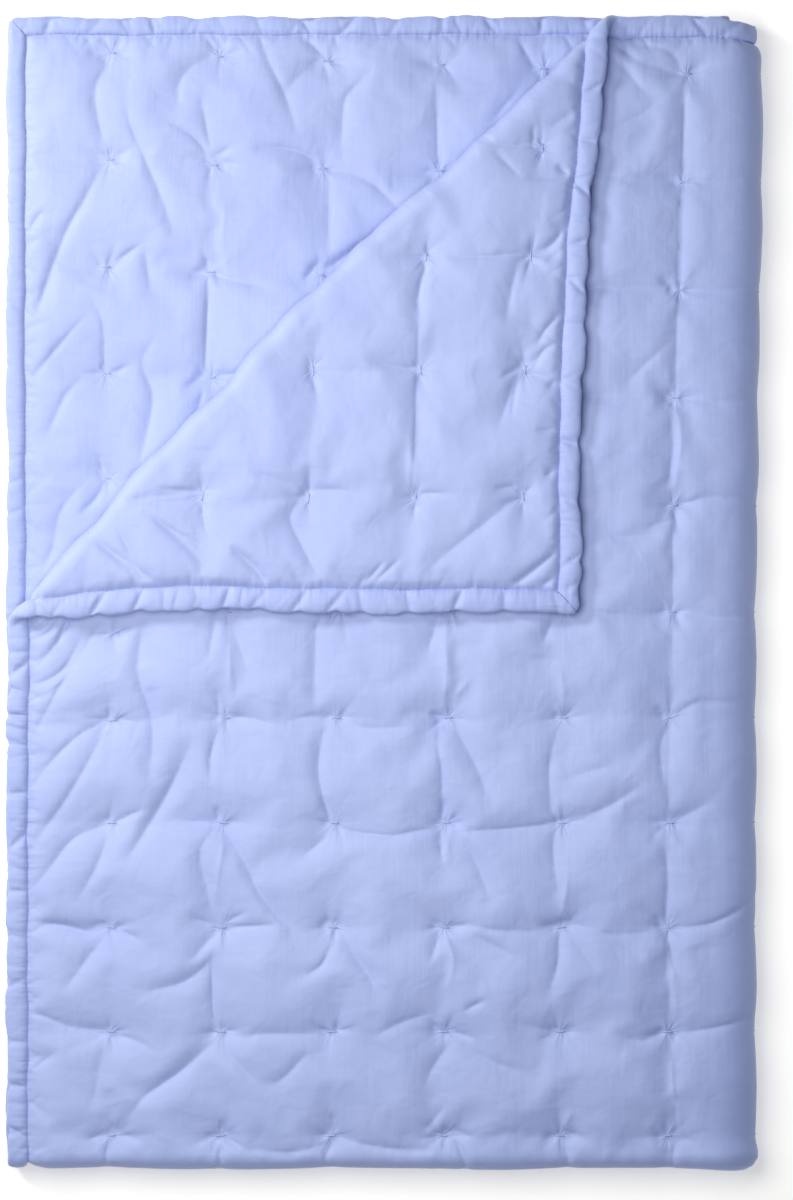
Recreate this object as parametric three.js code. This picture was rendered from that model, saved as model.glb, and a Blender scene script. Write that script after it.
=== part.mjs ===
// A tufted, padded bedspread with a bound edge, folded in four, with the top corner turned back.
// Millimetres. +Z is up, +Y runs from the tight fold at the foot to the free ends of the layers,
// and +X runs from the free sides to the fat fold. The origin is under the middle, on the surface.
//
// The cloth is first laid out flat, with u across, v along and w through its thickness, and each
// point is then carried through the folds: over the foot, round the side, and back at the corner.
import * as THREE from "three";
import { mergeVertices } from "three/addons/utils/BufferGeometryUtils.js";

// The cut cloth, and what the gathers round the tufts take up of its length.
const CUT_WIDTH = 1400;
const CUT_LENGTH = 2200;
const LENGTH_TAKEN_UP = 0.029;
const HALF_WIDTH = CUT_WIDTH / 2;
const HALF_LENGTH = (CUT_LENGTH / 2) * (1 - LENGTH_TAKEN_UP);

// Thickness of the padded cloth, from its middle to one face: at the crest of a puff, at a tuft,
// inside the binding, and on the shallow valley that runs from tuft to tuft.
const CREST = 6.4;
const TUFT = 2.2;
const EDGE = 1.5;
const VALLEY_SHARE = 0.88;
const DIMPLE_RADIUS = 22;
const TACK_HALF_WIDTH = 5;

// Padding is squeezed inside the foot fold, and more so at the corner where both folds meet.
const FOOT_SHARE = 0.82;
const CORNER_SHARE = 0.5;
const SQUEEZE_REACH = 40;

// The stack of four layers, and how far its lowest puffs are pressed flat by the surface.
const LAYER_PITCH = 13.5;
const PRESSED = 0.95;
const STACK_MIDDLE = 2 * LAYER_PITCH - PRESSED;

// The foot fold, and the side fold where the outer layers swing wide round the inner ones.
const FOOT_RADIUS = LAYER_PITCH / 2;
const FOOT_QUARTER = (Math.PI * FOOT_RADIUS) / 2;
const FOOT_STEPS = 2;
const SIDE_OUTER_REACH = 32.75;
const SIDE_INNER_RUN = 4;
const SIDE_QUARTER = 42.8;
const SIDE_STEPS = 3;

// The corner that is turned back. Its crease starts this far from the foot fold along the free
// side, and this far from the side fold along the end of the layer.
const CREASE_AT_SIDE = 524;
const CREASE_AT_END = 133;
const CREASE_RADIUS = LAYER_PITCH / 2;
const CREASE_LENGTH = Math.PI * CREASE_RADIUS;
const CREASE_STEPS = 8;

// Tuft columns, as distances from the free side: at the foot fold, at the end of the top layer
// and at the end of the layer under it. On the far half of the cloth they are evenly set.
const COLUMNS = [
  { foot: 96, top_end: 106, under_end: 96 },
  { foot: 198, top_end: 223, under_end: 196 },
  { foot: 301, top_end: 329, under_end: 297 },
  { foot: 405, top_end: 433, under_end: 402 },
  { foot: 513, top_end: 535, under_end: 497 },
  { foot: 613, top_end: 629, under_end: 602 },
];
const FAR_COLUMN_FIRST = 97;
const FAR_COLUMN_PITCH = 100.5;

// Tuft rows, as distances from the foot fold. The top layer and the layer under it each have
// this many. The top layer's middle rows sag towards the foot, and the under layer's rows slant,
// more so towards its end. The rows past the hidden ones show where the corner is turned back.
const ROWS = 11;
const ROW_PITCH = 98.6;
const FIRST_ROW_TOP = 28.7;
const FIRST_ROW_UNDER = 46.5;
const TOP_ROW_SAG = 6.5;
const UNDER_ROW_SLANT = 0.04;
const SLANT_CENTRE = -520;
const HIDDEN_ROWS = 6;

// Lines between two tufts, as shares of the way: the flanks of a puff, or its crest alone.
const FLANKS = [0.28, 0.72];
const CREST_ONLY = [0.5];
const FAN_SLANT = 0.37;

// Where the laid cloth is pulled out of true: a place on the flat cloth, how far that place is
// moved across and along, and how far round it the pull reaches.
const PULLS = [
  { u: -700, v: 572, across: 2, along: -34, reach: 85 },
  { u: -700, v: 680, across: 0, along: -16, reach: 85 },
  { u: -700, v: 800, across: 0, along: -14, reach: 85 },
  { u: -700, v: 920, across: -1, along: -10, reach: 85 },
  { u: -690, v: 1020, across: 1, along: -3, reach: 85 },
  { u: -570, v: 700, across: 4, along: -8, reach: 85 },
  { u: -400, v: 850, across: 0, along: 0, reach: 85 },
  { u: -250, v: 970, across: 5, along: -6, reach: 85 },
  { u: -500, v: 1068, across: -5, along: 0, reach: 85 },
  { u: -380, v: 1068, across: -5, along: 0, reach: 85 },
  { u: -145, v: 1068, across: 6, along: 0, reach: 50 },
  { u: 0, v: 1068, across: 3, along: -12, reach: 20 },
  { u: 0, v: 960, across: 4, along: 0, reach: 90 },
  { u: -450, v: -790, across: -10, along: -4, reach: 110 },
];
const PULL_HOLD = 0.12;

// Where the whole stack stands higher or lower than four even layers: a place on the surface,
// the share of the height, and how far round it that reaches.
const SWELLS = [
  { x: 300, y: 250, share: 0.05, reach: 190 },
  { x: 310, y: -300, share: 0.03, reach: 170 },
  { x: -60, y: -160, share: -0.05, reach: 170 },
  { x: -330, y: -430, share: -0.08, reach: 150 },
  { x: -330, y: 500, share: -0.1, reach: 170 },
  { x: -150, y: 130, share: 0.04, reach: 150 },
];

// The binding: a strip folded round the edge of the cloth and mitred at the corners. Its outside
// is given by distances in from the edge and the height there, and its slot holds the cloth.
const BINDING_WIDTH = 17;
const CLEARANCE = 0.3;
const BINDING_OUTSIDE = [
  { in_from_edge: BINDING_WIDTH, height: 2.7 },
  { in_from_edge: 11, height: 5.7 },
  { in_from_edge: 4, height: 5.1 },
];
const SLOT_HEIGHT = EDGE + CLEARANCE;
const SLOT_END = 2;
const CLOTH_INSET = SLOT_END + CLEARANCE;
const PUFF_INSET = 2 * BINDING_WIDTH;

const CLOTH_BLUE = 0xb2c1ec;
const BINDING_BLUE = 0xabbbe9;

const { clamp, lerp, smoothstep } = THREE.MathUtils;

// The middle of the laid footprint, from the free sides to the side fold and from end to end.
const FOOTPRINT_MIDDLE = new THREE.Vector2(
  (SIDE_OUTER_REACH + CREST - (HALF_WIDTH - SIDE_QUARTER)) / 2,
  (HALF_LENGTH - FOOT_QUARTER - FOOT_RADIUS - CREST) / 2,
);

// The crease line on the flat cloth, and the way from it to the corner that is turned back.
const creaseStart = new THREE.Vector2(-HALF_WIDTH, CREASE_AT_SIDE);
const creaseEnd = new THREE.Vector2(-CREASE_AT_END, HALF_LENGTH);
const creaseAlong = creaseEnd.clone().sub(creaseStart).normalize();
const toCorner = new THREE.Vector2(-creaseAlong.y, creaseAlong.x);

function pastCrease(u, v) {
  return (u - creaseStart.x) * toCorner.x + (v - creaseStart.y) * toCorner.y;
}

// How far the pulls move a place of the flat cloth once it is laid.
function pulled(u, v) {
  let across = 0;
  let along = 0;
  let total = PULL_HOLD;
  for (const pull of PULLS) {
    const away = Math.hypot(u - pull.u, v - pull.v) / pull.reach;
    const weight = Math.exp(-away * away);
    across += weight * pull.across;
    along += weight * pull.along;
    total += weight;
  }
  return { across: across / total, along: along / total };
}

function swollen(x, y) {
  let share = 1;
  for (const swell of SWELLS) {
    const away = Math.hypot(x - swell.x, y - swell.y) / swell.reach;
    share += swell.share * Math.exp(-away * away);
  }
  return share;
}

// A point of the cloth's middle, carried through the three folds.
function middle(u, v) {
  // Over the foot: the top layer is above the middle of its pair, and the other below it.
  const footAngle = clamp(v / FOOT_RADIUS, -Math.PI / 2, Math.PI / 2);
  const level = FOOT_RADIUS * Math.sin(footAngle);
  const beyondFoot = Math.abs(v) - FOOT_QUARTER;
  let y = beyondFoot > 0 ? beyondFoot : -FOOT_RADIUS * Math.cos(footAngle);

  // Round the side: the pair of layers swings under itself.
  const outer = (level + FOOT_RADIUS) / LAYER_PITCH;
  const rise = LAYER_PITCH + level;
  const reach = lerp(FOOT_RADIUS, SIDE_OUTER_REACH, outer);
  const straight = lerp(SIDE_INNER_RUN, 0, outer);
  const quarter = ((Math.PI / 2) * Math.hypot(reach, rise)) / Math.SQRT2;
  const beyondSide = Math.abs(u) - SIDE_QUARTER;
  const run = clamp(-beyondSide / SIDE_QUARTER, 0, 1) * (straight + quarter);
  const turn = (Math.PI / 2) * (1 - clamp((run - straight) / quarter, 0, 1));
  let x = run < straight ? run : straight + reach * Math.cos(turn);
  if (beyondSide > 0) x = -beyondSide;
  let z = STACK_MIDDLE - Math.sign(u) * rise * Math.sin(turn);

  // Back at the corner of the top layer.
  const past = u < 0 && v > 0 ? pastCrease(u, v) : 0;
  if (past > 0) {
    const roll = Math.min(past / CREASE_RADIUS, Math.PI);
    const back = Math.max(past - CREASE_LENGTH, 0);
    const shift = CREASE_RADIUS * Math.sin(roll) - back - past;
    x += shift * toCorner.x;
    y += shift * toCorner.y;
    z += CREASE_RADIUS * (1 - Math.cos(roll));
  }

  const pull = pulled(u, v);
  return new THREE.Vector3(
    x + pull.across - FOOTPRINT_MIDDLE.x,
    y + pull.along - FOOTPRINT_MIDDLE.y,
    z,
  );
}

// A point at the height w over the cloth's middle. The surface below stops it at zero.
function placed({ x: u, y: v, z: w }) {
  const probe = 0.25;
  const acrossWay = middle(u + probe, v).sub(middle(u - probe, v));
  const alongWay = middle(u, v + probe).sub(middle(u, v - probe));
  const point = middle(u, v).addScaledVector(acrossWay.cross(alongWay).normalize(), w);
  point.z = Math.max(0, point.z * swollen(point.x, point.y));
  return point;
}

// The lines across the flat cloth on which its shape is worked out: a distance along, whether
// tufts stand on it, and whether it slants.
function rowLines(first, sag, shares, hidden, slants) {
  const distance = (row) => first + ROW_PITCH * row - sag * Math.sin((Math.PI * row) / (ROWS - 1));
  const rows = [];
  for (let row = 0; row < ROWS; row++) {
    rows.push({ at: distance(row), tufted: true, slants });
    const between = row < hidden || row === ROWS - 1 ? [] : shares;
    for (const share of between)
      rows.push({ at: lerp(distance(row), distance(row + 1), share), slants });
  }
  return rows;
}

function edgeLines(half, insets) {
  return insets.map((inset) => ({ at: half - inset }));
}

const PUFF_TO_EDGE = [PUFF_INSET, BINDING_WIDTH, CLOTH_INSET];
const SEAM_TO_EDGE = [BINDING_WIDTH, CLOTH_INSET];

function footLines() {
  const steps = [];
  for (let step = -FOOT_STEPS; step <= FOOT_STEPS; step++)
    steps.push({ at: (FOOT_QUARTER * step) / FOOT_STEPS });
  return steps;
}

const mirrored = (lines) => lines.map((line) => ({ ...line, at: -line.at })).reverse();

const alongLines = [
  ...mirrored([
    { at: (FOOT_QUARTER + FIRST_ROW_UNDER) / 2 },
    ...rowLines(FIRST_ROW_UNDER, 0, CREST_ONLY, HIDDEN_ROWS, true),
    ...edgeLines(HALF_LENGTH, SEAM_TO_EDGE),
  ]),
  ...footLines(),
  ...rowLines(FIRST_ROW_TOP, TOP_ROW_SAG, FLANKS, 0, false),
  ...edgeLines(HALF_LENGTH, PUFF_TO_EDGE),
];

// Where a line across the cloth is at the distance u across it.
function rowAt(line, u) {
  if (!line.slants) return line.at;
  const across = Math.min(u, -SIDE_QUARTER) - SLANT_CENTRE;
  return line.at * (1 - (UNDER_ROW_SLANT * across) / HALF_LENGTH);
}

// The lines along the flat cloth. A tuft column slants a little, so each is a function of v.
function nearColumn(column) {
  return (v) => {
    const share = (v / HALF_LENGTH) ** 2;
    return lerp(column.foot, v > 0 ? column.top_end : column.under_end, share) - HALF_WIDTH;
  };
}

function betweenLines(from, to, shares) {
  return shares.map((share) => ({ at: (v) => lerp(from.at(v), to.at(v), share) }));
}

function acrossLinesOf() {
  const still = (u, tufted = false) => ({ at: () => u, tufted });
  const near = COLUMNS.map((column) => ({ at: nearColumn(column), tufted: true }));
  const far = COLUMNS.map((_, i) =>
    still(HALF_WIDTH - FAR_COLUMN_FIRST - FAR_COLUMN_PITCH * i, true),
  ).reverse();
  const side = [];
  for (let step = -SIDE_STEPS; step <= SIDE_STEPS; step++)
    side.push(still((SIDE_QUARTER * step) / SIDE_STEPS, step === 0));
  const lines = mirrored(edgeLines(HALF_WIDTH, PUFF_TO_EDGE)).map(({ at }) => still(at));
  near.forEach((line, i) => {
    lines.push(line);
    const next = near[i + 1];
    lines.push(...(next ? betweenLines(line, next, FLANKS) : betweenLines(line, side[0], CREST_ONLY)));
  });
  lines.push(...side, ...betweenLines(side.at(-1), far[0], CREST_ONLY));
  far.forEach((line, i) => {
    lines.push(line);
    if (far[i + 1]) lines.push(...betweenLines(line, far[i + 1], FLANKS));
  });
  lines.push(...edgeLines(HALF_WIDTH, SEAM_TO_EDGE).map(({ at }) => still(at)));
  return lines;
}

const acrossLines = acrossLinesOf();

// The place on the flat cloth where a line along it crosses a line across it.
function crossing(column, row) {
  const u = column.at(row.at);
  return new THREE.Vector2(u, rowAt(row, u));
}

const tufts = [];
for (const row of alongLines.filter((line) => line.tufted))
  for (const column of acrossLines.filter((line) => line.tufted)) tufts.push(crossing(column, row));

// Half the cloth's thickness at a place of the flat cloth.
function halfThickness(u, v, inValley) {
  const inFromSide = HALF_WIDTH - Math.abs(u);
  const inFromEnd = HALF_LENGTH - Math.abs(v);
  if (Math.min(inFromSide, inFromEnd) < BINDING_WIDTH + CLEARANCE) return EDGE;
  let nearest = Infinity;
  for (const tuft of tufts) {
    const across = Math.max(0, Math.abs(u - tuft.x) - TACK_HALF_WIDTH);
    nearest = Math.min(nearest, Math.hypot(across, v - tuft.y));
  }
  const filled = 1 - Math.exp(-((nearest / DIMPLE_RADIUS) ** 2));
  const full = lerp(TUFT, CREST * (inValley ? VALLEY_SHARE : 1), filled);
  const nearFoot = 1 - smoothstep(Math.abs(v), 0, SQUEEZE_REACH);
  const nearSide = 1 - smoothstep(Math.abs(u), 0, SQUEEZE_REACH);
  return full * lerp(1, FOOT_SHARE, nearFoot) * lerp(1, CORNER_SHARE, nearFoot * nearSide);
}

// The padded cloth as closed flat faces in u, v and w: two faces, and a wall round the edge.
function clothFaces() {
  const corner = (i, j, side) => {
    const { x: u, y: v } = crossing(acrossLines[i], alongLines[j]);
    const inValley = Boolean(acrossLines[i].tufted || alongLines[j].tufted);
    return new THREE.Vector3(u, v, side * halfThickness(u, v, inValley));
  };
  const faces = [];
  const lastAcross = acrossLines.length - 1;
  const lastAlong = alongLines.length - 1;
  for (let i = 0; i < lastAcross; i++)
    for (let j = 0; j < lastAlong; j++) {
      const round = [
        [i, j],
        [i + 1, j],
        [i + 1, j + 1],
        [i, j + 1],
      ];
      faces.push(round.map(([a, b]) => corner(a, b, 1)));
      faces.push(round.map(([a, b]) => corner(a, b, -1)).reverse());
    }
  const wall = (from, to) =>
    faces.push([corner(...from, 1), corner(...from, -1), corner(...to, -1), corner(...to, 1)]);
  for (let i = 0; i < lastAcross; i++) {
    wall([i, 0], [i + 1, 0]);
    wall([i + 1, lastAlong], [i, lastAlong]);
  }
  for (let j = 0; j < lastAlong; j++) {
    wall([0, j + 1], [0, j]);
    wall([lastAcross, j], [lastAcross, j + 1]);
  }
  return faces;
}

// The binding's section, as x in from the edge and y through the thickness.
function bindingSection() {
  const upper = BINDING_OUTSIDE.map((p) => new THREE.Vector2(p.in_from_edge, p.height));
  const lower = BINDING_OUTSIDE.map((p) => new THREE.Vector2(p.in_from_edge, -p.height));
  return [
    ...upper,
    new THREE.Vector2(0, 0),
    ...lower.reverse(),
    new THREE.Vector2(BINDING_WIDTH, -SLOT_HEIGHT),
    new THREE.Vector2(SLOT_END, -SLOT_HEIGHT),
    new THREE.Vector2(SLOT_END, SLOT_HEIGHT),
    new THREE.Vector2(BINDING_WIDTH, SLOT_HEIGHT),
  ];
}

// One binding strip along an edge of the flat cloth, as closed flat faces. Stations are places
// along the edge, and lay turns a station, a distance in and a height into u, v and w.
function bindingFaces(stations, halfEdge, lay) {
  const section = bindingSection();
  const mitreGap = (CLEARANCE / 2) * Math.SQRT2;
  const inner = stations.filter((at) => Math.abs(at) < halfEdge - BINDING_WIDTH - CLEARANCE);
  const places = [-Infinity, ...inner, Infinity];
  const corner = (place, point) => {
    const limit = halfEdge - point.x - mitreGap;
    return lay(clamp(place, -limit, limit), point.x, point.y);
  };
  const faces = [];
  for (let s = 0; s < places.length - 1; s++)
    section.forEach((point, k) => {
      const next = section[(k + 1) % section.length];
      const [from, to] = [places[s], places[s + 1]];
      faces.push([corner(from, next), corner(to, next), corner(to, point), corner(from, point)]);
    });
  for (const [a, b, c] of THREE.ShapeUtils.triangulateShape(section, [])) {
    const end = (place, order) => faces.push(order.map((k) => corner(place, section[k])));
    end(-Infinity, [c, b, a]);
    end(Infinity, [a, b, c]);
  }
  const origin = lay(0, 0, 0);
  const ways = [lay(1, 0, 0), lay(0, 1, 0), lay(0, 0, 1)];
  const [alongWay, inWay, upWay] = ways.map((way) => way.sub(origin));
  const rightHanded = inWay.cross(upWay).dot(alongWay) > 0;
  return rightHanded ? faces : faces.map((face) => face.reverse());
}

// Cuts every face that lies across the line where the cloth is a given way past the crease.
function splitPastCrease(faces, distance) {
  const offset = (point) => pastCrease(point.x, point.y) - distance;
  const split = [];
  const touching = 1e-6;
  for (const face of faces) {
    const before = [];
    const after = [];
    face.forEach((point, k) => {
      const next = face[(k + 1) % face.length];
      const here = offset(point);
      const there = offset(next);
      if (here <= touching) before.push(point);
      if (here >= -touching) after.push(point);
      if (Math.min(here, there) < -touching && Math.max(here, there) > touching) {
        const [low, high] = here < there ? [point, next] : [next, point];
        const cut = low.clone().lerp(high, offset(low) / (offset(low) - offset(high)));
        before.push(cut);
        after.push(cut);
      }
    });
    for (const part of [before, after]) if (part.length > 2) split.push(part);
  }
  return split;
}

// Where a face's fan of triangles starts. A puff's face of four is split along its ridge, and any
// other face from its lowest corner in one set direction, so that cloth and slot are split alike.
function fanStart(face) {
  const heights = face.map((point) => Math.abs(point.z));
  const odd = Math.min(heights[1], heights[3]);
  const even = Math.min(heights[0], heights[2]);
  if (face.length === 4 && odd !== even) return odd > even ? 1 : 0;
  const along = face.map((point) => point.x * FAN_SLANT + point.y);
  return along.indexOf(Math.min(...along));
}

// Turns flat faces into the folded solid's triangles.
function foldedGeometry(flatFaces) {
  let faces = flatFaces;
  for (let step = 0; step <= CREASE_STEPS; step++)
    faces = splitPastCrease(faces, (CREASE_LENGTH * step) / CREASE_STEPS);
  const positions = [];
  for (const face of faces) {
    const start = fanStart(face);
    const points = [...face.slice(start), ...face.slice(0, start)].map(placed);
    for (let k = 1; k < points.length - 1; k++)
      for (const point of [points[0], points[k], points[k + 1]]) positions.push(...point);
  }
  const geometry = new THREE.BufferGeometry();
  geometry.setAttribute("position", new THREE.Float32BufferAttribute(positions, 3));
  const merged = mergeVertices(geometry, 1e-3);
  merged.computeVertexNormals();
  return merged;
}

function named(name, faces, color) {
  const material = new THREE.MeshStandardMaterial({ color, roughness: 0.75, metalness: 0 });
  const mesh = new THREE.Mesh(foldedGeometry(faces), material);
  mesh.name = name;
  return mesh;
}

// The four strips of the binding, by the edge of the flat cloth that each one holds.
function bindingStrips() {
  const alongStations = (u) => alongLines.map((line) => rowAt(line, u));
  const acrossStations = (v) => acrossLines.map((line) => line.at(v));
  return [
    {
      name: "binding_near_side",
      faces: bindingFaces(
        alongStations(-HALF_WIDTH),
        HALF_LENGTH,
        (at, inset, w) => new THREE.Vector3(inset - HALF_WIDTH, at, w),
      ),
    },
    {
      name: "binding_far_side",
      faces: bindingFaces(
        alongStations(HALF_WIDTH),
        HALF_LENGTH,
        (at, inset, w) => new THREE.Vector3(HALF_WIDTH - inset, at, w),
      ),
    },
    {
      name: "binding_top_end",
      faces: bindingFaces(
        acrossStations(HALF_LENGTH),
        HALF_WIDTH,
        (at, inset, w) => new THREE.Vector3(at, HALF_LENGTH - inset, w),
      ),
    },
    {
      name: "binding_under_end",
      faces: bindingFaces(
        acrossStations(-HALF_LENGTH),
        HALF_WIDTH,
        (at, inset, w) => new THREE.Vector3(at, inset - HALF_LENGTH, w),
      ),
    },
  ];
}

const bedspread = new THREE.Group();
bedspread.add(named("quilt", clothFaces(), CLOTH_BLUE));
for (const strip of bindingStrips()) bedspread.add(named(strip.name, strip.faces, BINDING_BLUE));

export default bedspread;
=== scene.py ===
import math

import bmesh
import bpy
import numpy as np
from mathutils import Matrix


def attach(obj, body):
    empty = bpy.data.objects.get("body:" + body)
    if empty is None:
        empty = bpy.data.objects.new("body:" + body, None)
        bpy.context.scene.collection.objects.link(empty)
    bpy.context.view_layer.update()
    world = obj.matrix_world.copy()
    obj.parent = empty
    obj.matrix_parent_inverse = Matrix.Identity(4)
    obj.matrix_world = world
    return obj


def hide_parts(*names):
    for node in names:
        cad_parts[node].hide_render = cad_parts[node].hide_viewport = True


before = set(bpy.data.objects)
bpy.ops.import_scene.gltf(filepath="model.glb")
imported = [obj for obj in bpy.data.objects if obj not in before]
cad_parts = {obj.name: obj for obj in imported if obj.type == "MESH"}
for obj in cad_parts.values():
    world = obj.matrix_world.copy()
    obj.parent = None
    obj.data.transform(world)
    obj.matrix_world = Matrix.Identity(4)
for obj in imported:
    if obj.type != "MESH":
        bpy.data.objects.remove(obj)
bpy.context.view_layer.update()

# A tufted, padded bedspread with a bound edge, folded in four, with the top corner turned back.
# Lengths are in millimetres until a mesh is finished, and MM makes them metres.
# The cloth is made flat, with u across, v along and w through it, and is then carried through
# its folds: over the foot, round the side, and back on the diagonal at the corner.
MM = 0.001

# The cut cloth and the layers it is folded into.
HALF_WIDTH = 700.0
HALF_LENGTH = 1068.1
CREST = 6.4
TUFT = 2.2
LAYER_PITCH = 13.5
STACK_MIDDLE = 26.05
FOOT_RADIUS = 6.75
FOOT_QUARTER = math.pi * FOOT_RADIUS / 2
SIDE_OUTER_REACH = 32.75
SIDE_INNER_RUN = 4.0
SIDE_QUARTER = 42.8
CREASE_START = (-HALF_WIDTH, 524.0)
CREASE_END = (-133.0, HALF_LENGTH)
CREASE_RADIUS = 6.75
CREASE_LENGTH = math.pi * CREASE_RADIUS
FOOTPRINT_MIDDLE = (
    (SIDE_OUTER_REACH + CREST - (HALF_WIDTH - SIDE_QUARTER)) / 2,
    (HALF_LENGTH - FOOT_QUARTER - FOOT_RADIUS - CREST) / 2,
)

# Where the laid cloth is pulled out of true: u, v, across, along, reach.
PULLS = [
    (-700, 572, 2, -34, 85), (-700, 680, 0, -16, 85), (-700, 800, 0, -14, 85),
    (-700, 920, -1, -10, 85), (-690, 1020, 1, -3, 85), (-570, 700, 4, -8, 85),
    (-400, 850, 0, 0, 85), (-250, 970, 5, -6, 85), (-500, 1068, -5, 0, 85),
    (-380, 1068, -5, 0, 85), (-145, 1068, 6, 0, 50), (0, 1068, 3, -12, 20),
    (0, 960, 4, 0, 90), (-450, -790, -10, -4, 110),
]
PULL_HOLD = 0.12

# Where the stack stands higher or lower: x, y, share of the height, reach.
SWELLS = [
    (300, 250, 0.05, 190), (310, -300, 0.03, 170), (-60, -160, -0.05, 170),
    (-330, -430, -0.08, 150), (-330, 500, -0.1, 170), (-150, 130, 0.04, 150),
]

# Tuft columns from the free side: at the foot, at the end of the top layer, at the end of the
# layer under it. Columns on the far half are evenly set.
COLUMNS = [
    (96, 106, 96), (198, 223, 196), (301, 329, 297), (405, 433, 402), (513, 535, 497), (613, 629, 602),
]
FAR_COLUMN_FIRST = 97.0
FAR_COLUMN_PITCH = 100.5
ROWS = 11
ROW_PITCH = 98.6
FIRST_ROW_TOP = 28.7
FIRST_ROW_UNDER = 46.5
TOP_ROW_SAG = 6.5
UNDER_ROW_SLANT = 0.04
SLANT_CENTRE = -520.0

# How wide the binding lies across the top end and where it is narrowest, half the thickness at
# its seam, and how far inside the seam the cloth is full again.
TOP_WIDTH = 19.5
UNDER_WIDTH = 16.0
SEAM_HEIGHT = 0.4
SEAM_REACH = 24.0
CLOTH_INSET = 6.0

crease_way = np.subtract(CREASE_END, CREASE_START) / math.dist(CREASE_END, CREASE_START)
to_corner = np.array([-crease_way[1], crease_way[0]])


def past_crease(u, v):
    return (u - CREASE_START[0]) * to_corner[0] + (v - CREASE_START[1]) * to_corner[1]


def smoothstep(value, low, high):
    share = np.clip((value - low) / (high - low), 0, 1)
    return share * share * (3 - 2 * share)


def middle(u, v):
    """A point of the cloth's middle, carried through the three folds."""
    foot_angle = np.clip(v / FOOT_RADIUS, -math.pi / 2, math.pi / 2)
    level = FOOT_RADIUS * np.sin(foot_angle)
    beyond_foot = np.abs(v) - FOOT_QUARTER
    y = np.where(beyond_foot > 0, beyond_foot, -FOOT_RADIUS * np.cos(foot_angle))

    outer = (level + FOOT_RADIUS) / LAYER_PITCH
    rise = LAYER_PITCH + level
    reach = FOOT_RADIUS + (SIDE_OUTER_REACH - FOOT_RADIUS) * outer
    straight = SIDE_INNER_RUN * (1 - outer)
    quarter = math.pi / 2 * np.hypot(reach, rise) / math.sqrt(2)
    beyond_side = np.abs(u) - SIDE_QUARTER
    run = np.clip(-beyond_side / SIDE_QUARTER, 0, 1) * (straight + quarter)
    turn = math.pi / 2 * (1 - np.clip((run - straight) / quarter, 0, 1))
    x = np.where(run < straight, run, straight + reach * np.cos(turn))
    x = np.where(beyond_side > 0, -beyond_side, x)
    z = STACK_MIDDLE - np.sign(u) * rise * np.sin(turn)

    past = np.maximum(np.where((u < 0) & (v > 0), past_crease(u, v), 0), 0)
    roll = np.minimum(past / CREASE_RADIUS, math.pi)
    back = np.maximum(past - CREASE_LENGTH, 0)
    shift = CREASE_RADIUS * np.sin(roll) - back - past
    x = x + shift * to_corner[0]
    y = y + shift * to_corner[1]
    z = z + CREASE_RADIUS * (1 - np.cos(roll))

    across = np.zeros_like(x)
    along = np.zeros_like(x)
    total = np.full_like(x, PULL_HOLD)
    for pull_u, pull_v, pull_across, pull_along, pull_reach in PULLS:
        weight = np.exp(-((u - pull_u) ** 2 + (v - pull_v) ** 2) / pull_reach**2)
        across += weight * pull_across
        along += weight * pull_along
        total += weight
    x = x + across / total - FOOTPRINT_MIDDLE[0]
    y = y + along / total - FOOTPRINT_MIDDLE[1]
    return np.stack([x, y, z], axis=-1)


def placed(u, v, w):
    """Points at the height w over the cloth's middle, as laid. The surface stops them at zero."""
    probe = 0.25
    across = middle(u + probe, v) - middle(u - probe, v)
    along = middle(u, v + probe) - middle(u, v - probe)
    normal = np.cross(across, along)
    normal /= np.linalg.norm(normal, axis=-1, keepdims=True)
    point = middle(u, v) + normal * w[..., None]
    share = np.ones(len(u))
    for swell_x, swell_y, swell_share, swell_reach in SWELLS:
        away = ((point[:, 0] - swell_x) ** 2 + (point[:, 1] - swell_y) ** 2) / swell_reach**2
        share += swell_share * np.exp(-away)
    point[:, 2] = np.maximum(0, point[:, 2] * share)
    return point


def seam_wander(at):
    """How far a seam sewn by eye strays from its line."""
    return 0.5 * np.sin(at / 19.0 + 1.0) + 0.35 * np.sin(at / 7.3)


def near_width(v):
    """How wide the binding lies on the free side: widest where it edges the turned-back corner."""
    width = UNDER_WIDTH + 2.5 * smoothstep(v, -60, 20) + 3.0 * smoothstep(v, 560, 640)
    return width - 2.0 * smoothstep(v, 1030, 1060) + seam_wander(v)


def far_width(v):
    return UNDER_WIDTH + 3.5 * smoothstep(v, -300, 300) + seam_wander(v)


def top_width(u):
    return TOP_WIDTH + seam_wander(u)


def under_width(u):
    return UNDER_WIDTH + seam_wander(u)


def edge_insets(u, v):
    """How far a place lies inside the binding's seam along each of the four edges."""
    return (
        HALF_WIDTH + u - near_width(v), HALF_WIDTH - u - far_width(v),
        HALF_LENGTH - v - top_width(u), HALF_LENGTH + v - under_width(u),
    )


# Places on the laid bedspread are given as they are seen from above, in steps of 0.93 mm across
# and down from a corner just outside its free sides.
SEEN_STEP = 0.93
SEEN_LEFT = 8.0
SEEN_FOOT = 1168.5


def seen(x, y):
    across = SEEN_LEFT + (x + FOOTPRINT_MIDDLE[0] + HALF_WIDTH - SIDE_QUARTER) / SEEN_STEP
    down = SEEN_FOOT - (y + FOOTPRINT_MIDDLE[1] + FOOT_RADIUS + CREST) / SEEN_STEP
    return across, down


def meshed(bm, name):
    mesh = bpy.data.meshes.new(name)
    bm.to_mesh(mesh)
    bm.free()
    return mesh


def turned_outwards(mesh):
    bm = bmesh.new()
    bm.from_mesh(mesh)
    bmesh.ops.recalc_face_normals(bm, faces=bm.faces)
    bm.to_mesh(mesh)
    bm.free()


def coordinates(mesh):
    flat = np.empty(3 * len(mesh.vertices), np.float32)
    mesh.vertices.foreach_get("co", flat)
    return flat.reshape(-1, 3).astype(float)


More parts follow.
